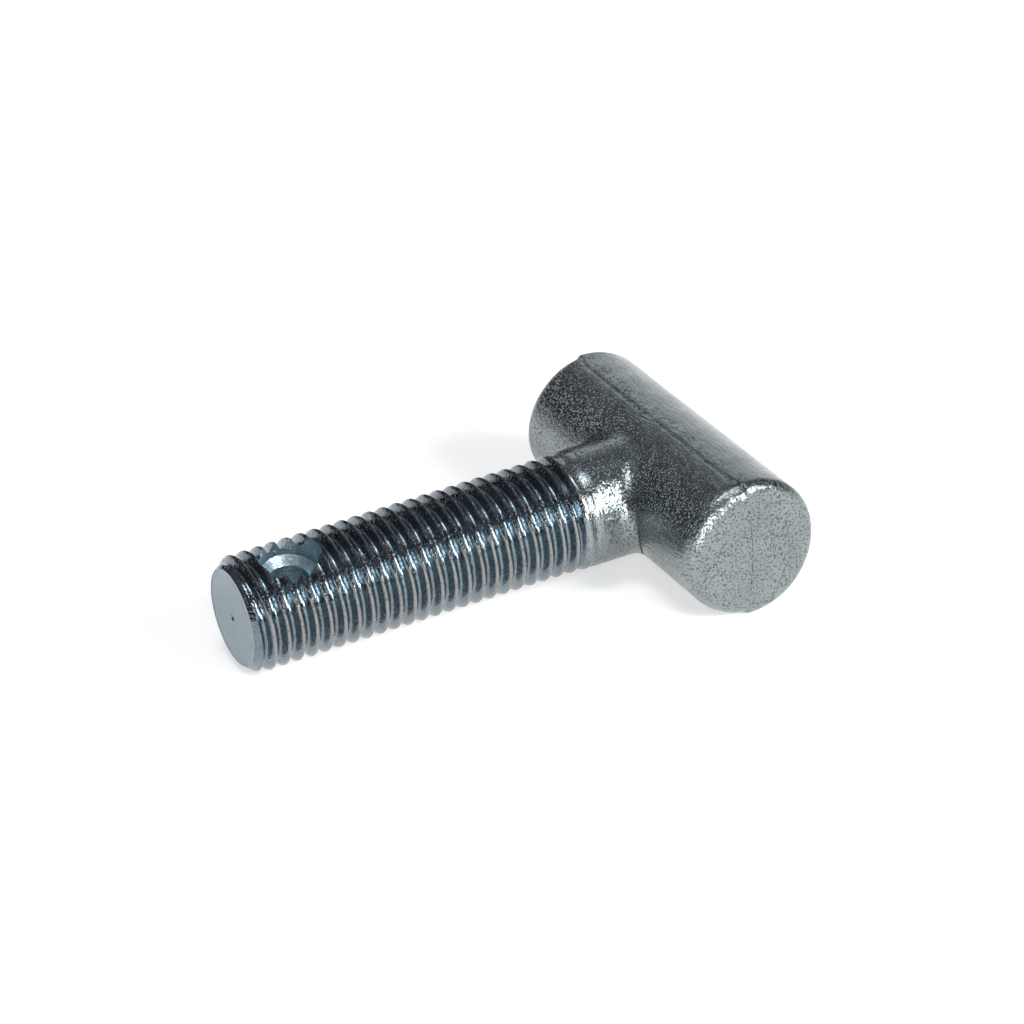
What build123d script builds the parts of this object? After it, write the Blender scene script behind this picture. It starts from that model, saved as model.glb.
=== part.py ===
from build123d import *
from math import asin, atan2, degrees, hypot, radians, tan
import os

# A forged T bolt: a round cross bar for a head, a short plain collar under it, and a rolled
# right-hand thread that ends in a chamfered tip with a stepped cross hole behind it.
#
# It is modelled with the shank along X, the tip at -X, the cross bar along Y and its
# origin where the two axes meet. Last, it is laid down on its bar and its thread. Millimetres.

# Rolled thread, M20 x 2.5, right-hand
thread_pitch = 2.5
thread_crest_d = 19.7
thread_depth = 1.5
thread_crest_flat = 0.32
thread_root_flat = 0.62

# Shank, measured along its axis
shank_reach = 80.0           # from the axis of the cross bar to the face of the tip
tip_face_d = 16.5
tip_chamfer_length = 1.9
collar_d = 20.0
collar_reach = 16.6          # from the axis of the cross bar to the collar's shoulder
thread_end_reach = 21.3      # from the axis of the cross bar to the last full turn
runout_length = 2.5          # over which the groove then fades out
thread_lead_in = 1.5         # pitches from where the groove's helix starts to the tip's face

# Cross bar, forged between two dies that part across the shank
bar_d = 24.1
bar_length = 58.2
parting_reach = 1.2          # the parting plane lies this far towards the tip
die_step = 0.12              # the half towards the shank is this much smaller in radius
end_draft = 2.0              # degrees, so each end is a low roof with its ridge on the parting
shank_side_edge_r = 4.4
back_side_edge_r = 2.8
neck_fillet_r = 2.6

# Cross hole for a pin, drilled through and then opened out from both sides
pin_hole_d = 6.5
pin_hole_reach = 10.2        # from the face of the tip to the hole's axis
pin_hole_turn = 10.0         # degrees that the hole is turned about the shank, off square to the bar
mouth_d = 9.4
mouth_floor_reach = 5.4      # from the axis of the shank to the foot of each mouth's wall
drill_point = 118.0          # degrees, the cone that the wider drill leaves below that wall

# How far a tool reaches past the surface that it cuts
cut_over = 0.4

thread_crest_r = thread_crest_d / 2
thread_root_r = thread_crest_r - thread_depth


def bar_half(side, radius, edge_r):
    """Half of the cross bar, as one die forms it, on the parting plane's side of sign `side`."""
    parting_x = -parting_reach
    outer_x = side * radius
    end_y = bar_length / 2
    drafted_y = end_y - abs(outer_x - parting_x) * tan(radians(end_draft))
    with BuildPart() as half:
        with BuildSketch(Plane.XZ):
            Circle(radius)
        extrude(amount=end_y, both=True)
        with BuildSketch(Plane.XY):
            with BuildLine():
                Polyline(
                    (parting_x, -end_y),
                    (outer_x, -drafted_y),
                    (outer_x, drafted_y),
                    (parting_x, end_y),
                    close=True,
                )
            make_face()
        extrude(amount=radius, both=True, mode=Mode.INTERSECT)
        fillet(half.edges().filter_by(GeomType.ELLIPSE), radius=edge_r)
    return half.part


# The head: both halves of the bar and the collar, with the fillet in the corner between them
with BuildPart() as head:
    add(bar_half(-1, bar_d / 2 - die_step, shank_side_edge_r))
    add(bar_half(1, bar_d / 2, back_side_edge_r))
    with BuildSketch(Plane.YZ):
        Circle(collar_d / 2)
    extrude(amount=-collar_reach)
    neck_corner = head.edges(Select.NEW)
    fillet(neck_corner, radius=neck_fillet_r)

# The groove that the thread dies press in: a trapezoid carried along a helix that starts off
# the end of the tip, then climbs out of the shank over the last turn
groove_reach = shank_reach + thread_lead_in * thread_pitch
full_turns = round((groove_reach - thread_end_reach) / thread_pitch)
runout_x = full_turns * thread_pitch - groove_reach
flank_run = (thread_pitch - thread_crest_flat - thread_root_flat) / 2
over_run = flank_run * cut_over / thread_depth
runout_slope = degrees(atan2(thread_depth + cut_over, runout_length))
with BuildPart() as thread_groove:
    with BuildLine() as groove_path:
        full_depth = Helix(
            thread_pitch,
            full_turns * thread_pitch,
            thread_root_r,
            center=(-groove_reach, 0, 0),
            direction=(1, 0, 0),
        )
        Helix(
            thread_pitch,
            runout_length,
            thread_root_r,
            center=(runout_x, 0, 0),
            direction=(1, 0, 0),
            cone_angle=runout_slope,
        )
    with BuildSketch(Plane(full_depth @ 0, x_dir=(1, 0, 0), z_dir=full_depth % 0)):
        with BuildLine():
            Polyline(
                (-thread_root_flat / 2, 0),
                (thread_root_flat / 2, 0),
                (thread_root_flat / 2 + flank_run + over_run, thread_depth + cut_over),
                (-thread_root_flat / 2 - flank_run - over_run, thread_depth + cut_over),
                close=True,
            )
        make_face()
    sweep(path=groove_path.wires()[0], is_frenet=True)

ledge_drop = (mouth_d - pin_hole_d) / 2 / tan(radians(drill_point / 2))

with BuildPart() as bolt:
    # Shank, from the tip to the middle of the bar
    with BuildSketch(Plane.YZ):
        Circle(thread_crest_r)
    extrude(amount=-shank_reach)
    add(thread_groove.part, mode=Mode.SUBTRACT)
    # Chamfer of the tip: a ring under the sloping line is turned away
    chamfer_slope = (thread_crest_r - tip_face_d / 2) / tip_chamfer_length
    with BuildSketch(Plane.XY):
        with BuildLine():
            Polyline(
                (-shank_reach - cut_over, tip_face_d / 2 - cut_over * chamfer_slope),
                (-shank_reach - cut_over, bar_d / 2),
                (-shank_reach + (bar_d - tip_face_d) / 2 / chamfer_slope, bar_d / 2),
                close=True,
            )
        make_face()
    revolve(axis=Axis.X, mode=Mode.SUBTRACT)
    # Cross hole with its two mouths, turned out of half a section that is mirrored
    drilled = Plane(
        (pin_hole_reach - shank_reach, 0, 0),
        x_dir=(1, 0, 0),
        z_dir=Vector(0, -1, 0).rotate(Axis.X, pin_hole_turn),
    )
    with BuildSketch(drilled):
        with BuildLine():
            Polyline(
                (0, 0),
                (pin_hole_d / 2, 0),
                (pin_hole_d / 2, mouth_floor_reach - ledge_drop),
                (mouth_d / 2, mouth_floor_reach),
                (mouth_d / 2, thread_crest_d),
                (0, thread_crest_d),
                close=True,
            )
        make_face()
        mirror(about=Plane.XZ)
    revolve(axis=Axis(drilled.origin, drilled.y_dir), mode=Mode.SUBTRACT)
    add(head.part)

# Laid down, the bar and the last full crest at the tip both touch the ground
crest_reach = shank_reach - tip_chamfer_length
rest_tilt = degrees(
    asin(bar_d / 2 / hypot(crest_reach, thread_crest_r)) - atan2(thread_crest_r, crest_reach)
)
with BuildPart() as t_bolt:
    add(bolt.part, rotation=(0, -rest_tilt, 0))
t_bolt.part.label = "t_bolt"

os.makedirs("parts", exist_ok=True)
export_step(t_bolt.part, "parts/t_bolt.step")
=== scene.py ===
import math

import bmesh
import bpy
import numpy as np
from bpy.props import FloatProperty, FloatVectorProperty, IntProperty, PointerProperty
from bpy.types import Operator, Panel, PropertyGroup
from mathutils import Matrix, Quaternion, Vector


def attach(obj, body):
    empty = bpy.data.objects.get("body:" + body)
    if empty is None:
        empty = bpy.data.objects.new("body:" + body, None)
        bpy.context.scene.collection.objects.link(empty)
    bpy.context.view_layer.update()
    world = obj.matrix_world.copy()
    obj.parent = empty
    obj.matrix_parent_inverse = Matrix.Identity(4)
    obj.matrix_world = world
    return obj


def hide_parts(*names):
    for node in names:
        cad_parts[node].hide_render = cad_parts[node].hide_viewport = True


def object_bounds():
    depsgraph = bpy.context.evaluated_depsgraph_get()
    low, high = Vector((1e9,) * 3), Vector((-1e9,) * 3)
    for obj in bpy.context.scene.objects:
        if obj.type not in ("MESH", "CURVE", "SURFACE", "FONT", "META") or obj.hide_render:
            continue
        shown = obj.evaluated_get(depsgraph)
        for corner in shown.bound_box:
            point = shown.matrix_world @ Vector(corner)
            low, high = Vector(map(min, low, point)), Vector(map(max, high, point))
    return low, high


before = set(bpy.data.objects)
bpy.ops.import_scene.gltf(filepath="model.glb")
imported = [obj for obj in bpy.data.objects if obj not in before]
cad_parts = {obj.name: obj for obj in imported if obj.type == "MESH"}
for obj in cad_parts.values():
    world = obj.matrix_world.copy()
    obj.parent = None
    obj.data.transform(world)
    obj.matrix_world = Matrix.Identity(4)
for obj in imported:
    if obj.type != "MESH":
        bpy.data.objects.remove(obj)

bl_info = {
    "name": "Forged T Bolt",
    "version": (1, 0, 0),
    "blender": (4, 5, 0),
    "location": "View3D > Sidebar > T Bolt",
    "description": "Makes a zinc plated forged T bolt with a rolled thread, and a pale studio for it",
    "category": "Add Mesh",
}

CAD_BOX = [list(corner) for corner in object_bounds()]
NODE = "t_bolt"
FORGED, ROLLED, CUT, DRILLED, COLLAR = 0, 1, 2, 3, 4

WELD_DISTANCE = 2e-7
SHARP_ANGLE = math.radians(38.0)
DRILL_HALF_POINT = math.radians(59.0)

# Angles about the bar, in degrees, where the dies parted, and how far the columns beside them stand off
PARTING_TOP, PARTING_BOTTOM = 97.5, 262.5
PARTING_COLUMNS = np.array([-3.0, -1.4, -0.6, -0.2, 0.2, 0.6, 1.4, 3.0])
# Where the parting line crosses the rim of the bar's ends
RIM_TOP_X, RIM_BOTTOM_X = -0.0009, -0.0016
# Radius of the edge round the bar's ends, by the angle about the bar in degrees
EDGE_ANGLE = np.array([0.0, 60.0, 95.0, 100.0, 135.0, 165.0, 195.0, 230.0, 260.0, 265.0, 300.0, 360.0])
EDGE_RADIUS = np.array([1.9, 1.9, 2.0, 3.0, 3.2, 2.8, 2.2, 2.4, 2.6, 1.9, 1.8, 1.9]) / 1000


def length(name, description, default):
    return FloatProperty(name=name, description=description, default=default, unit="LENGTH", precision=5)


def angle(name, description, degrees):
    return FloatProperty(name=name, description=description, default=math.radians(degrees), subtype="ANGLE")


def colour(name, description, default):
    return FloatVectorProperty(name=name, description=description, default=default, subtype="COLOR", size=3)


def power(name, description, default):
    return FloatProperty(name=name, description=description, default=default, unit="POWER")


class BoltSizes(PropertyGroup):
    pitch: length("Thread pitch", "Distance from one crest to the next", 0.0025)
    crest_radius: length("Crest radius", "Radius over the thread's crests", 0.00985)
    thread_depth: length("Thread depth", "Depth of the groove below the crests", 0.0015)
    tip_reach: length("Tip reach", "From the bar's axis to the face of the tip", 0.080)
    groove_reach: length("Groove reach", "From the bar's axis to where the groove's helix starts", 0.08375)
    tip_radius: length("Tip radius", "Radius of the tip's flat face", 0.00825)
    chamfer_length: length("Chamfer length", "Length of the tip's chamfer along the shank", 0.0019)
    pit_radius: length("Centre pit radius", "Radius of the small pit in the tip's face", 0.0006)
    collar_radius: length("Collar radius", "Radius of the plain collar under the bar", 0.0100)
    collar_reach: length("Collar reach", "From the bar's axis to the collar's shoulder", 0.0166)
    thread_end_reach: length("Thread end reach", "From the bar's axis to the last full turn", 0.0213)
    bar_radius: length("Bar radius", "Radius of the cross bar", 0.01205)
    bar_half_length: length("Bar half length", "From the shank's axis to the bar's end", 0.0291)
    die_step: length("Die step", "How much smaller the half towards the shank is in radius", 0.00012)
    parting_groove: length("Parting groove", "Depth of the fine line where the dies parted", 0.00006)
    end_draft: angle("End draft", "Slope of the bar's ends away from the parting", 2.6)
    neck_fillet: length("Neck fillet", "Radius of the fillet between collar and bar", 0.0026)
    top_swell: FloatProperty(name="Top swell", description="How much larger the fillet is on top", default=0.8)
    hole_radius: length("Cross hole radius", "Radius of the hole drilled through", 0.00325)
    hole_reach: length("Cross hole reach", "From the bar's axis to the hole's axis", 0.0698)
    hole_turn: angle("Cross hole turn", "Turn of the hole about the shank", 10.0)
    mouth_radius: length("Mouth radius", "Radius of the opened out mouths", 0.0047)
    mouth_floor: length("Mouth floor", "From the shank's axis to the foot of the mouth's wall", 0.0054)
    mouth_bell: length("Mouth bell", "How much wider the mouth is where it breaks the thread", 0.0008)
    around: IntProperty(name="Steps around", description="Grid columns round the shank", default=256)
    bar_around: IntProperty(name="Steps around bar", description="Grid columns round the bar", default=248)
    hole_around: IntProperty(name="Steps around hole", description="Grid columns round the hole", default=96)


class BoltFinish(PropertyGroup):
    zinc: colour("Zinc", "Colour of the plating where it is clean", (0.25, 0.286, 0.284))
    dull_zinc: colour("Dull zinc", "Colour of the plating where it is dull", (0.20, 0.225, 0.24))
    blue_zinc: colour("Blue zinc", "Colour of the thicker blue plating in the grooves", (0.20, 0.262, 0.295))
    # Bright zinc is lighter and bluer than the outer plating: painted reflection on the hole's wall.
    hole_reflection_zinc: colour("Bright zinc", "Colour of the plating inside the hole", (0.34, 0.44, 0.49))
    worn_crest: colour("Worn crest", "Colour where the crests are rubbed", (0.26, 0.257, 0.25))
    # Root zinc is darker than the rest of the plating: painted shade in the thread's grooves. It is the whole
    # thread's clean tone and gives way only towards the crests.
    groove_shade_zinc: colour("Root zinc", "Colour of the plating deep in the grooves", (0.15, 0.188, 0.212))
    # Pit is a near black mixed in at the fine pits: painted shade in them.
    pit: colour("Pit", "Colour at the foot of the fine pits", (0.03, 0.035, 0.04))


class StudioLook(PropertyGroup):
    floor: colour("Floor", "Colour of the floor", (0.75, 0.75, 0.75))
    floor_glow: FloatProperty(
        name="Floor glow", description="Light the floor adds of itself where it is seen", default=0.5
    )
    low_sky: colour("Low sky", "Colour of the sky near the floor", (0.05, 0.045, 0.055))
    high_sky: colour("High sky", "Colour of the sky overhead", (0.20, 0.205, 0.235))
    key_power: power("Key power", "Power of the front soft box", 19.0)
    back_power: power("Back power", "Power of the back soft box", 1.15)
    low_power: power("Low power", "Power of the low front strip", 9.0)
    top_power: power("Top power", "Power of the soft box above", 5.0)
    lamp_distance: length("Lamp distance", "From the bolt to each lamp", 1.2)
    floor_half: length("Floor half width", "From the middle of the floor to its edge", 4.0)
    camera_lens: FloatProperty(
        name="Lens", description="Focal length in millimetres on a 36 mm sensor", default=161.87
    )
    camera_azimuth: angle("Camera azimuth", "Turn of the camera about the vertical", -26.2645)
    camera_elevation: angle("Camera elevation", "Height of the camera as an angle", 28.2672)
    camera_roll: angle("Camera roll", "Turn of the camera about its line of sight", -2.8788)


# Where the camera stands, in metres
CAMERA_PLACE = (-0.32418, -0.59820, 0.36099)


def rest_tilt(s):
    """Angle at which the bolt lies on its bar and on the last full crest: the angle under which the bar's
    radius is seen from the crest, less the angle of the crest itself above the shank's axis."""
    crest_reach = s.tip_reach - s.chamfer_length
    under_bar = math.asin(s.bar_radius / math.hypot(crest_reach, s.crest_radius))
    return under_bar - math.atan2(s.crest_radius, crest_reach)


def laid_down(points, tilt):
    """Points turned about Y: x becomes x cos t - z sin t, and z becomes x sin t + z cos t."""
    x, y, z = np.moveaxis(points, -1, 0)
    c, s = math.cos(tilt), math.sin(tilt)
    return np.stack([x * c - z * s, y, x * s + z * c], axis=-1)


def smooth_step(low, high, value):
    """Rises from 0 at low to 1 at high as 3 t squared less 2 t cubed."""
    t = np.clip((value - low) / (high - low), 0.0, 1.0)
    return t * t * (3.0 - 2.0 * t)


def about_x(x, radius, theta):
    """Points at radius r and angle theta about the X axis: (x, r cos theta, r sin theta)."""
    x, radius, theta = np.broadcast_arrays(x, radius, theta)
    return np.stack([x, radius * np.cos(theta), radius * np.sin(theta)], axis=-1)


def grid_faces(rows, columns, seam_shift=0):
    """Quads of a grid that closes on itself: the last column joins the first one seam_shift rows on."""
    row = np.arange(rows - 1)[:, None]
    column = np.arange(columns)[None, :]
    here = row * columns + column
    last = column == columns - 1
    beside = np.where(last, (row + seam_shift) * columns, here + 1)
    inside = np.broadcast_to(~last | (row + seam_shift < rows - 1), here.shape)
    quads = np.stack([here, beside, beside + columns, here + columns], axis=-1)
    return quads[inside]


# Heights of the groove over one pitch, from the middle of one root to the next: 1 is the full depth
THREAD_PHASE = np.array([0.0, 0.09, 0.15, 0.22, 0.34, 0.43, 0.5, 0.57, 0.66, 0.78, 0.85, 0.91])
THREAD_DEPTH = np.array([1.0, 0.985, 0.90, 0.68, 0.30, 0.06, 0.0, 0.06, 0.30, 0.68, 0.90, 0.985])


def threaded_rows(s, theta):
    """Rows that follow the helix: row k of turn n lies at x = start + pitch (n + phase k + theta / 2 pi),
    with r = envelope - depth * groove(phase) * fade(x), cut off by the chamfer's cone and held at both
    ends."""
    per_turn = len(THREAD_PHASE)
    turns = int((s.tip_reach - s.collar_reach) / s.pitch) + 5
    row = np.arange(turns * per_turn)
    phase = row // per_turn + THREAD_PHASE[row % per_turn]
    start = -s.groove_reach - s.pitch * 0.25
    x = start + s.pitch * (phase[:, None] + theta[None, :] / (2 * math.pi))
    first, last = -s.tip_reach, -s.collar_reach
    x = np.clip(x, first, last)
    thread_end = -s.thread_end_reach
    shallow_from = thread_end + 0.0013
    fade = 1.0 - 0.72 * smooth_step(thread_end, shallow_from, x)
    fade = fade * (1.0 - smooth_step(shallow_from, last - 0.0002, x))
    swell = smooth_step(thread_end - 0.002, last - 0.001, x)
    envelope = s.crest_radius + (s.collar_radius - s.crest_radius) * swell
    groove = s.thread_depth * THREAD_DEPTH[row % per_turn][:, None] * fade
    cone = s.tip_radius + (x - first) * (s.crest_radius - s.tip_radius) / s.chamfer_length
    radius = np.minimum(envelope - groove, cone)
    return about_x(x, radius, theta[None, :])


def tip_rows(s, theta):
    """The tip's face from its middle outwards: a flat disc with a small bowl of depth d (1 - (r / r0)^2)."""
    pit = s.pit_radius
    radius = np.concatenate([np.linspace(0.0, pit, 5), np.linspace(pit * 1.3, s.tip_radius * 0.985, 9)])
    radius = np.append(radius, s.tip_radius)
    bowl = 0.0005 * np.clip(1.0 - (radius / pit) ** 2, 0.0, None)
    worn = 0.00006 * smooth_step(s.tip_radius * 0.9, s.tip_radius, radius)
    x = -s.tip_reach + bowl + worn * (radius < s.tip_radius * 0.999)
    return about_x(x[:, None], radius[:, None], theta[None, :])


def neck_rows(s, theta):
    """The collar, the fillet and a foot inside the bar. The fillet is the arc of a ball of radius b that
    rolls in the corner: its centre keeps r + b from the shank's axis and R + b from the bar's axis."""
    r, big = s.collar_radius, s.bar_radius
    ball = s.neck_fillet * (1.0 + s.top_swell * np.clip(np.sin(theta), 0.0, 1.0) ** 2)
    centre_x = -np.sqrt((big + ball) ** 2 - ((r + ball) * np.sin(theta)) ** 2)
    centre = about_x(centre_x, r + ball, theta)
    to_collar = about_x(0.0, -1.0, theta)
    to_bar = -centre * np.array([1.0, 0.0, 1.0]) / (big + ball)[:, None]
    share = np.linspace(0.0, 1.0, 7)[:-1, None, None]
    collar = about_x(-s.collar_reach, r, theta)
    contact = centre + ball[:, None] * to_collar
    straight = collar * (1.0 - share) + contact * share
    whole = np.arccos(np.clip((to_collar * to_bar).sum(-1), -1.0, 1.0))[None, :, None]
    part = np.linspace(0.0, 0.86, 11)[:, None, None] * whole
    arc = centre + ball[:, None] * (np.sin(whole - part) * to_collar + np.sin(part) * to_bar) / np.sin(whole)
    foot = arc[-1] * np.array([0.93, 0.97, 0.93])
    middle = np.zeros_like(foot)
    return np.concatenate([straight, arc, foot[None], middle[None]])


def bump_about(angles, middle):
    """Squared cosine of the distance from middle, in degrees, and 0 beyond a quarter turn."""
    return np.cos(np.clip(np.radians(angles - middle), -math.pi / 2, math.pi / 2)) ** 2


def bar_rows(s, columns):
    """The cross bar as a turned form whose section changes with the angle about it: from the far end's
    middle over a low roof, round a fillet, along the bar and back in the same way. The columns lean
    with the parting line, so that it stays a crisp step where it bends near the ends."""
    spread = np.linspace(PARTING_TOP + 5, PARTING_BOTTOM - 5, columns // 2 - len(PARTING_COLUMNS))
    rest = np.linspace(PARTING_BOTTOM + 5, PARTING_TOP + 355, columns // 2 - len(PARTING_COLUMNS))
    base = np.concatenate([PARTING_TOP + PARTING_COLUMNS, spread, PARTING_BOTTOM + PARTING_COLUMNS, rest])
    theta0 = np.radians(base)[None, :]
    fillet = np.interp(np.degrees(theta0) % 360.0, EDGE_ANGLE, EDGE_RADIUS)
    side = np.where((base > PARTING_TOP) & (base < PARTING_BOTTOM), 1.0, 0.0)[None, :]
    off = np.minimum(np.abs(base - PARTING_TOP), np.abs(base - PARTING_BOTTOM))[None, :]
    radius = s.bar_radius - s.die_step * side - s.parting_groove * (off < 0.7)
    roof_share = np.linspace(0.0, 1.0, 10)[:-1, None]
    bend_share = np.linspace(0.0, math.pi / 2, 9)[:, None]
    lean_top = math.radians(PARTING_TOP) - math.acos(RIM_TOP_X / s.bar_radius)
    lean_bottom = math.radians(PARTING_BOTTOM) - (2 * math.pi - math.acos(RIM_BOTTOM_X / s.bar_radius))
    window_top = bump_about(base, PARTING_TOP) + bump_about(base, PARTING_TOP + 360)
    window_bottom = bump_about(base, PARTING_BOTTOM)
    lean = (lean_top * window_top + lean_bottom * window_bottom)[None, :]
    half = []
    for end in (1.0, -1.0):
        theta = theta0 - lean
        flat = roof_share * (radius - fillet)
        rise = np.concatenate([flat, radius - fillet + fillet * np.sin(bend_share)])
        x, z = rise * np.cos(theta), rise * np.sin(theta)
        ridge_x = (RIM_TOP_X + RIM_BOTTOM_X) / 2 + (RIM_TOP_X - RIM_BOTTOM_X) / 2 * z / s.bar_radius
        soft = 0.0003
        roof = s.bar_half_length - math.tan(s.end_draft) * (np.sqrt((x - ridge_x) ** 2 + soft**2) - soft)
        drop = np.concatenate([np.zeros_like(flat), fillet * (1.0 - np.cos(bend_share))])
        line = 1.5 * s.parting_groove * (off < 1.0) * np.minimum(1.0, rise / 0.003)
        y = end * (roof - drop - line)
        half.append(np.stack([x, y, z], axis=-1))
    far, close = half[0], half[1][::-1]
    share = np.linspace(0.0, 1.0, 26)[1:-1, None]
    y = far[-1, :, 1] * (1.0 - share) + close[0, :, 1] * share
    reach = np.minimum(np.abs(y - far[-1, :, 1]), np.abs(y - close[0, :, 1]))
    theta = theta0 - (1.0 - smooth_step(0.0, 0.0035, reach)) * lean
    x, z = radius * np.cos(theta), radius * np.sin(theta)
    body = np.stack([x, y, z], axis=-1)
    return np.concatenate([far, body, close])


def hole_rows(s, theta):
    """The cross hole as a turned tool about its own axis: mouth, cone of the drill's point, bore, cone,
    mouth."""
    drop = (s.mouth_radius - s.hole_radius) / math.tan(DRILL_HALF_POINT)
    outside = s.crest_radius * 1.4
    inner = s.mouth_floor - drop
    bell = s.mouth_bell
    steps = [
        (0.0, outside),
        (s.mouth_radius + bell, outside),
        (s.mouth_radius + bell, s.crest_radius),
        (s.mouth_radius + bell * 0.3, s.crest_radius - 0.0009),
        (s.mouth_radius, s.crest_radius - 0.0020),
        (s.mouth_radius, s.mouth_floor + 0.0002),
        (s.mouth_radius - 0.0002, s.mouth_floor),
        (s.hole_radius + 0.00015, inner + 0.00008),
        (s.hole_radius, inner - 0.0001),
    ]
    radius = np.array([r for r, _ in steps] + [r for r, _ in steps[::-1]])
    height = np.array([-h for _, h in steps] + [h for _, h in steps[::-1]])
    across = radius[:, None] * np.cos(theta)[None, :]
    up = np.array([0.0, -math.sin(s.hole_turn), math.cos(s.hole_turn)])
    right = np.array([1.0, 0.0, 0.0])
    ahead = np.cross(up, right)
    beside = radius[:, None] * np.sin(theta)[None, :]
    centre = np.array([-s.hole_reach, 0.0, 0.0])
    return (
        centre
        + across[..., None] * right
        + beside[..., None] * ahead
        + height[:, None, None] * up
    )


def mesh_object(name, blocks, tilt):
    """One closed mesh out of grids that meet at equal points: the grids are put in and then welded."""
    points, faces, marks, offset = [], [], [], 0
    for rows, shift, mark in blocks:
        count, columns = rows.shape[:2]
        quads = grid_faces(count, columns, shift)
        points.append(laid_down(rows, tilt).reshape(-1, 3))
        faces.append(quads + offset)
        marks.append(np.full(len(quads), mark, dtype=np.int32))
        offset += count * columns
    points, faces, marks = np.concatenate(points), np.concatenate(faces), np.concatenate(marks)
    mesh = bpy.data.meshes.new(name)
    mesh.vertices.add(len(points))
    mesh.vertices.foreach_set("co", points.astype(np.float32).ravel())
    mesh.loops.add(faces.size)
    mesh.loops.foreach_set("vertex_index", faces.astype(np.int32).ravel())
    mesh.polygons.add(len(faces))
    mesh.polygons.foreach_set("loop_start", np.arange(0, faces.size, 4, dtype=np.int32))
    mesh.polygons.foreach_set("material_index", marks)
    mesh.update(calc_edges=True)
    welded = bmesh.new()
    welded.from_mesh(mesh)
    bmesh.ops.remove_doubles(welded, verts=welded.verts, dist=WELD_DISTANCE)
    welded.to_mesh(mesh)
    welded.free()
    thing = bpy.data.objects.new(name, mesh)
    bpy.context.scene.collection.objects.link(thing)
    return thing


def join(body, tool, operation):
    """Changes body by a boolean with tool, which is used up."""
    change = body.modifiers.new(operation, "BOOLEAN")
    change.operation = operation
    change.solver = "EXACT"
    change.object = tool
    graph = bpy.context.evaluated_depsgraph_get()
    made = bpy.data.meshes.new_from_object(body.evaluated_get(graph))
    body.modifiers.clear()
    old = body.data
    body.data = made
    bpy.data.meshes.remove(old)
    bpy.data.objects.remove(tool)
    if len(made.polygons) == 0:
        raise RuntimeError("the boolean left nothing of " + body.name)


class Nodes:
    """Short forms for building a node tree."""

    def __init__(self, tree):
        self.tree = tree

    def add(self, kind, **settings):
        node = self.tree.nodes.new(kind)
        for key, value in settings.items():
            setattr(node, key, value)
        return node

    def link(self, source, target):
        self.tree.links.new(source, target)

    def feed(self, socket, value):
        if hasattr(value, "links"):
            self.link(value, socket)
        else:
            socket.default_value = value

    def math(self, operation, a, b=None):
        node = self.add("ShaderNodeMath", operation=operation)
        self.feed(node.inputs[0], a)
        if b is not None:
            self.feed(node.inputs[1], b)
        return node.outputs[0]

    def ramp(self, value, low, high):
        node = self.add("ShaderNodeMapRange", interpolation_type="SMOOTHSTEP")
        self.feed(node.inputs["Value"], value)
        node.inputs["From Min"].default_value = low
        node.inputs["From Max"].default_value = high
        return node.outputs[0]

    def mix(self, factor, a, b):
        node = self.add("ShaderNodeMix", data_type="RGBA")
        self.feed(node.inputs["Factor"], factor)
        self.feed(node.inputs["A"], a)
        self.feed(node.inputs["B"], b)
        return node.outputs["Result"]

    def noise(self, place, scale, detail=3.0, roughness=0.5, distortion=0.0):
        node = self.add("ShaderNodeTexNoise", noise_dimensions="3D")
        self.feed(node.inputs["Vector"], place)
        node.inputs["Scale"].default_value = scale
        node.inputs["Detail"].default_value = detail
        node.inputs["Roughness"].default_value = roughness
        node.inputs["Distortion"].default_value = distortion
        return node.outputs["Fac"]

    def place(self, scale=(1, 1, 1)):
        where = self.add("ShaderNodeTexCoord")
        mapping = self.add("ShaderNodeMapping")
        mapping.inputs["Scale"].default_value = scale
        self.link(where.outputs["Object"], mapping.inputs["Vector"])
        return mapping.outputs["Vector"]


def group(name, inputs, outputs):
    """A new shader node group with named sockets."""
    tree = bpy.data.node_groups.new(name, "ShaderNodeTree")
    for kind, title, default in inputs:
        socket = tree.interface.new_socket(title, in_out="INPUT", socket_type=kind)
        socket.default_value = default
    for kind, title in outputs:
        tree.interface.new_socket(title, in_out="OUTPUT", socket_type=kind)
    nodes = Nodes(tree)
    return nodes, nodes.add("NodeGroupInput"), nodes.add("NodeGroupOutput")


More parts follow.
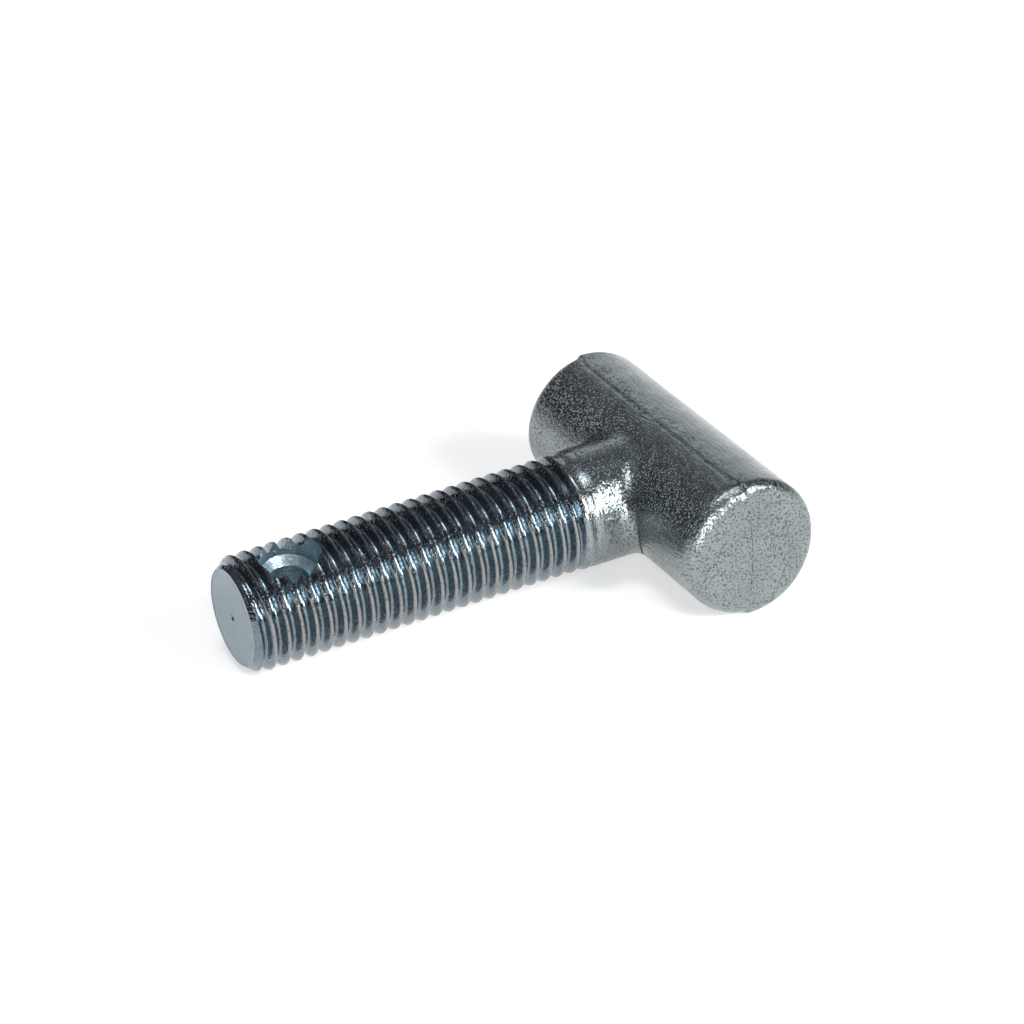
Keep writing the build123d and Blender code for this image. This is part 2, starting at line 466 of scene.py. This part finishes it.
def plating_group():
    """Zinc plate: a clean and a dull tone in soft patches, with fine pits in height that are darkened in tone
    as painted shade. The specks and pits get finer as Speck Size, the scale of their noise, gets larger."""
    n, start, end = group(
        "Zinc Plating",
        [
            ("NodeSocketColor", "Clean", (0.6, 0.65, 0.71, 1)),
            ("NodeSocketColor", "Dull", (0.4, 0.44, 0.49, 1)),
            ("NodeSocketColor", "Pit", (0.03, 0.035, 0.04, 1)),
            ("NodeSocketFloat", "Dullness", 0.4),
            ("NodeSocketFloat", "Speck Size", 3000.0),
            ("NodeSocketFloat", "Pitting", 0.4),
        ],
        [("NodeSocketColor", "Colour"), ("NodeSocketFloat", "Mask"), ("NodeSocketFloat", "Height")],
    )
    where = n.place()
    patches = n.noise(where, 160.0, 4.0, 0.6)
    specks = n.add("ShaderNodeTexNoise", noise_dimensions="3D")
    n.link(where, specks.inputs["Vector"])
    n.link(start.outputs["Speck Size"], specks.inputs["Scale"])
    specks.inputs["Detail"].default_value = 2.0
    tone = n.math("ADD", n.math("MULTIPLY", patches, 0.7), n.math("MULTIPLY", specks.outputs["Fac"], 0.3))
    shifted = n.math("ADD", tone, n.math("SUBTRACT", start.outputs["Dullness"], 0.5))
    mask = n.ramp(shifted, 0.3, 0.7)
    fine = n.add("ShaderNodeTexNoise", noise_dimensions="3D")
    n.link(where, fine.inputs["Vector"])
    n.link(n.math("MULTIPLY", start.outputs["Speck Size"], 1.1), fine.inputs["Scale"])
    fine.inputs["Detail"].default_value = 3.0
    # The Pit colour mixed in at the fine pits is painted shade in them; Pitting sets how much.
    pit_shade = n.math("MULTIPLY", n.ramp(fine.outputs["Fac"], 0.52, 0.68), start.outputs["Pitting"])
    plain = n.mix(mask, start.outputs["Clean"], start.outputs["Dull"])
    n.link(n.mix(pit_shade, plain, start.outputs["Pit"]), end.inputs["Colour"])
    n.link(mask, end.inputs["Mask"])
    raised = n.math("MULTIPLY", specks.outputs["Fac"], 0.35)
    n.link(n.math("SUBTRACT", raised, n.ramp(fine.outputs["Fac"], 0.54, 0.66)), end.inputs["Height"])
    return n.tree


def placed_group(n, tree, **values):
    node = n.add("ShaderNodeGroup")
    node.node_tree = tree
    for key, value in values.items():
        socket = node.inputs[key.replace("_", " ")]
        n.feed(socket, (*value, 1) if hasattr(value, "__len__") else value)
    return node


def metal(name, plating, colours, dullness, speck_size, pit_shading, rough, grain, flow, flow_scale, crests=None):
    """A zinc plated steel. colours are its clean, dull and pit tones, the pit tone being painted shade in the
    fine pits. Its roughness lies between the two values of rough, its fine grain is as high as grain says and
    its flow lines as high as flow says, both in metres. crests, where given, is the radii between which wear
    sets in and the thread's dark clean tone, painted shade in the grooves, gives way, its colour, and the
    shank's tilt."""
    material = bpy.data.materials.new(name)
    material.use_nodes = True
    material.node_tree.nodes.clear()
    n = Nodes(material.node_tree)
    shader = n.add("ShaderNodeBsdfPrincipled")
    out = n.add("ShaderNodeOutputMaterial")
    n.link(shader.outputs[0], out.inputs["Surface"])
    shader.inputs["Metallic"].default_value = 1.0
    plate = placed_group(
        n,
        plating,
        Clean=tuple(colours[0]),
        Dull=tuple(colours[1]),
        Pit=tuple(colours[2]),
        Dullness=dullness,
        Speck_Size=speck_size,
        Pitting=pit_shading,
    )
    colour_out = plate.outputs["Colour"]
    if crests:
        low, high, tint, tilt = crests
        where = n.place()
        where.node.inputs["Rotation"].default_value = (0.0, tilt, 0.0)
        parts = n.add("ShaderNodeSeparateXYZ")
        n.link(where, parts.inputs[0])
        beside, above = (n.math("POWER", parts.outputs[axis], 2.0) for axis in (1, 2))
        square = n.math("ADD", beside, above)
        # Towards the crest radius the thread turns from its dark clean tone, painted shade in the grooves, to
        # the worn crest colour, which the pits keep out.
        worn = n.ramp(n.math("SQRT", square), low, high)
        crest_wear_and_shade_mix = n.math("MULTIPLY", worn, n.ramp(plate.outputs["Height"], -0.6, 0.0))
        colour_out = n.mix(crest_wear_and_shade_mix, colour_out, (*tint, 1.0))
    n.link(colour_out, shader.inputs["Base Color"])
    streaks = n.noise(n.place(flow_scale), 1.0, 4.0, 0.6, 0.6)
    spread = n.math("MULTIPLY", plate.outputs["Mask"], rough[1] - rough[0])
    n.link(n.math("ADD", spread, rough[0]), shader.inputs["Roughness"])
    lines = n.add("ShaderNodeBump")
    lines.inputs["Distance"].default_value = flow
    n.link(streaks, lines.inputs["Height"])
    grains = n.add("ShaderNodeBump")
    grains.inputs["Distance"].default_value = grain
    n.link(plate.outputs["Height"], grains.inputs["Height"])
    n.link(lines.outputs["Normal"], grains.inputs["Normal"])
    n.link(grains.outputs["Normal"], shader.inputs["Normal"])
    return material


class MESH_OT_forged_bolt(Operator):
    """Makes the whole bolt: bar, collar, rolled thread and cross hole, as one closed skin"""

    bl_idname = "mesh.forged_bolt"
    bl_label = "Forged Bolt"

    def execute(self, context):
        s, finish = context.scene.bolt_sizes, context.scene.bolt_finish
        tilt = rest_tilt(s)
        theta = np.linspace(0.0, 2 * math.pi, s.around, endpoint=False)
        shank = [
            (tip_rows(s, theta), 0, CUT),
            (threaded_rows(s, theta), len(THREAD_PHASE), ROLLED),
            (neck_rows(s, theta), 0, FORGED),
        ]
        bolt = mesh_object("forged_bolt", shank, tilt)
        bar = mesh_object("bar_blank", [(bar_rows(s, s.bar_around), 0, FORGED)], tilt)
        for face in bolt.data.polygons:
            if face.material_index == ROLLED and face.center.x > -s.thread_end_reach + s.pitch * 0.5:
                face.material_index = COLLAR
        turns = np.linspace(0.0, 2 * math.pi, s.hole_around, endpoint=False)
        drill = mesh_object("drill_blank", [(hole_rows(s, turns), 0, DRILLED)], tilt)
        plating = plating_group()
        materials = [
            metal(
                "forged_zinc",
                plating,
                (finish.zinc, finish.dull_zinc, finish.pit),
                dullness=0.45,
                speck_size=2600.0,
                pit_shading=0.6,
                rough=(0.13, 0.24),
                grain=0.00020,
                flow=0.00012,
                flow_scale=(1300, 420, 1300),
            ),
            metal(
                "rolled_zinc",
                plating,
                # Its clean tone, root zinc, is dark: painted shade in the grooves.
                (finish.groove_shade_zinc, finish.blue_zinc, finish.pit),
                dullness=0.35,
                speck_size=2200.0,
                pit_shading=0.35,
                rough=(0.12, 0.22),
                grain=0.00003,
                flow=0.00007,
                flow_scale=(900, 500, 500),
                crests=(s.crest_radius - 0.0005, s.crest_radius - 0.00005, finish.worn_crest, tilt),
            ),
            metal(
                "cut_zinc",
                plating,
                (finish.blue_zinc, finish.dull_zinc, finish.pit),
                dullness=0.25,
                speck_size=3600.0,
                pit_shading=0.25,
                rough=(0.16, 0.26),
                grain=0.00003,
                flow=0.00002,
                flow_scale=(300, 300, 300),
            ),
            metal(
                "drilled_zinc",
                plating,
                # Its clean tone, bright zinc, is a painted reflection on the hole's wall.
                (finish.hole_reflection_zinc, finish.blue_zinc, finish.pit),
                dullness=0.35,
                speck_size=2600.0,
                pit_shading=0.2,
                rough=(0.28, 0.42),
                grain=0.00006,
                flow=0.00010,
                flow_scale=(300, 300, 2200),
            ),
            metal(
                "collar_zinc",
                plating,
                (finish.zinc, finish.blue_zinc, finish.pit),
                dullness=0.4,
                speck_size=2600.0,
                pit_shading=0.35,
                rough=(0.14, 0.24),
                grain=0.00005,
                flow=0.00012,
                flow_scale=(2600, 90, 90),
            ),
        ]
        for thing in (bolt, bar, drill):
            for material in materials:
                thing.data.materials.append(material)
        join(bolt, bar, "UNION")
        join(bolt, drill, "DIFFERENCE")
        bolt.data.polygons.foreach_set("use_smooth", np.ones(len(bolt.data.polygons), dtype=bool))
        bolt.data.set_sharp_from_angle(angle=SHARP_ANGLE)
        bolt.data.validate()
        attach(bolt, "root")
        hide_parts(NODE)
        return {"FINISHED"}


def soft_box(name, direction, distance, size, watts, tone, roll):
    """A rectangular lamp at a distance along a direction from the bolt, facing it and rolled about that
    line by so many degrees."""
    lamp = bpy.data.lights.new(name, "AREA")
    lamp.shape = "RECTANGLE"
    lamp.size, lamp.size_y = size
    lamp.energy = watts
    lamp.color = tone
    thing = bpy.data.objects.new(name, lamp)
    toward = Vector(direction).normalized()
    thing.location = toward * distance + Vector((-0.03, 0.0, 0.0))
    turn = toward.to_track_quat("Z", "Y") @ Quaternion((0.0, 0.0, 1.0), math.radians(roll))
    thing.rotation_euler = turn.to_euler()
    bpy.context.scene.collection.objects.link(thing)


class MESH_OT_bolt_studio(Operator):
    """Makes the pale floor, the soft lamps, the sky and the camera"""

    bl_idname = "mesh.bolt_studio"
    bl_label = "Studio"

    def execute(self, context):
        scene = context.scene
        look = scene.studio_look
        level = CAD_BOX[0][2]
        u = np.linspace(-look.floor_half, look.floor_half, 9)
        gx, gy = np.meshgrid(u, u)
        points = np.stack([gx.ravel(), gy.ravel(), np.full(gx.size, level)], axis=-1)
        row = np.arange(8)[:, None] * 9 + np.arange(8)[None, :]
        quads = np.stack([row, row + 1, row + 10, row + 9], axis=-1).reshape(-1, 4)
        mesh = bpy.data.meshes.new("floor")
        mesh.from_pydata(points.tolist(), [], quads.tolist())
        floor = bpy.data.objects.new("floor", mesh)
        scene.collection.objects.link(floor)
        material = bpy.data.materials.new("pale_floor")
        material.use_nodes = True
        material.node_tree.nodes.clear()
        n = Nodes(material.node_tree)
        matt = n.add("ShaderNodeBsdfDiffuse")
        matt.inputs["Color"].default_value = (*look.floor, 1)
        glow = n.add("ShaderNodeEmission")
        glow.inputs["Color"].default_value = (1, 1, 1, 1)
        path = n.add("ShaderNodeLightPath")
        seen = n.math("MAXIMUM", path.outputs["Is Camera Ray"], path.outputs["Is Glossy Ray"])
        seen = n.math("MAXIMUM", seen, path.outputs["Is Transmission Ray"])
        n.link(n.math("MULTIPLY", seen, look.floor_glow), glow.inputs["Strength"])
        both = n.add("ShaderNodeAddShader")
        n.link(matt.outputs[0], both.inputs[0])
        n.link(glow.outputs[0], both.inputs[1])
        out = n.add("ShaderNodeOutputMaterial")
        n.link(both.outputs[0], out.inputs["Surface"])
        floor.data.materials.append(material)

        white, cool = (1, 1, 1), (0.95, 0.98, 1)
        for name, direction, size, watts, tone, roll in (
            ("front_box", (0.41, -0.77, 0.49), (0.5, 0.5), look.key_power, white, 0.0),
            ("back_box", (0.52, 0.76, 0.30), (0.40, 0.95), look.back_power, cool, -38.0),
            ("low_box", (-0.38, -0.90, 0.20), (0.5, 0.22), look.low_power, white, 0.0),
            ("top_box", (-0.15, -0.15, 0.97), (0.45, 0.45), look.top_power, white, 0.0),
        ):
            soft_box(name, direction, look.lamp_distance, size, watts, tone, roll)

        world = bpy.data.worlds.new("studio_sky")
        scene.world = world
        world.use_nodes = True
        world.node_tree.nodes.clear()
        n = Nodes(world.node_tree)
        sky = n.add("ShaderNodeBackground")
        where = n.add("ShaderNodeTexCoord")
        parts = n.add("ShaderNodeSeparateXYZ")
        n.link(where.outputs["Generated"], parts.inputs[0])
        rise = n.ramp(parts.outputs[2], 0.15, 0.75)
        n.link(n.mix(rise, (*look.low_sky, 1), (*look.high_sky, 1)), sky.inputs["Color"])
        out = n.add("ShaderNodeOutputWorld")
        n.link(sky.outputs[0], out.inputs["Surface"])

        camera = bpy.data.cameras.new("camera")
        camera.lens = look.camera_lens
        camera.sensor_width = 36.0
        camera.clip_start, camera.clip_end = 0.05, 20.0
        eye = bpy.data.objects.new("camera", camera)
        azimuth, elevation = look.camera_azimuth, look.camera_elevation
        back = Vector(
            (
                math.sin(azimuth) * math.cos(elevation),
                -math.cos(azimuth) * math.cos(elevation),
                math.sin(elevation),
            )
        )
        turn = back.to_track_quat("Z", "Y").to_matrix().to_4x4() @ Matrix.Rotation(look.camera_roll, 4, "Z")
        eye.matrix_world = Matrix.Translation(Vector(CAMERA_PLACE)) @ turn
        scene.collection.objects.link(eye)
        scene.camera = eye
        scene.view_settings.view_transform = "Standard"
        return {"FINISHED"}


class VIEW3D_PT_forged_bolt(Panel):
    bl_label = "Forged T Bolt"
    bl_idname = "VIEW3D_PT_forged_bolt"
    bl_space_type = "VIEW_3D"
    bl_region_type = "UI"
    bl_category = "T Bolt"

    def draw(self, context):
        scene = context.scene
        for title, values in (
            ("Sizes", scene.bolt_sizes),
            ("Finish", scene.bolt_finish),
            ("Studio", scene.studio_look),
        ):
            box = self.layout.box()
            box.label(text=title)
            for name in values.__annotations__:
                box.prop(values, name)
        self.layout.operator(MESH_OT_forged_bolt.bl_idname)
        self.layout.operator(MESH_OT_bolt_studio.bl_idname)


CLASSES = (BoltSizes, BoltFinish, StudioLook, MESH_OT_forged_bolt, MESH_OT_bolt_studio, VIEW3D_PT_forged_bolt)


def register():
    for item in CLASSES:
        bpy.utils.register_class(item)
    bpy.types.Scene.bolt_sizes = PointerProperty(type=BoltSizes)
    bpy.types.Scene.bolt_finish = PointerProperty(type=BoltFinish)
    bpy.types.Scene.studio_look = PointerProperty(type=StudioLook)


def unregister():
    del bpy.types.Scene.studio_look
    del bpy.types.Scene.bolt_finish
    del bpy.types.Scene.bolt_sizes
    for item in reversed(CLASSES):
        bpy.utils.unregister_class(item)


def main():
    register()
    bpy.ops.mesh.bolt_studio()
    bpy.ops.mesh.forged_bolt()


if __name__ == "__main__":
    main()
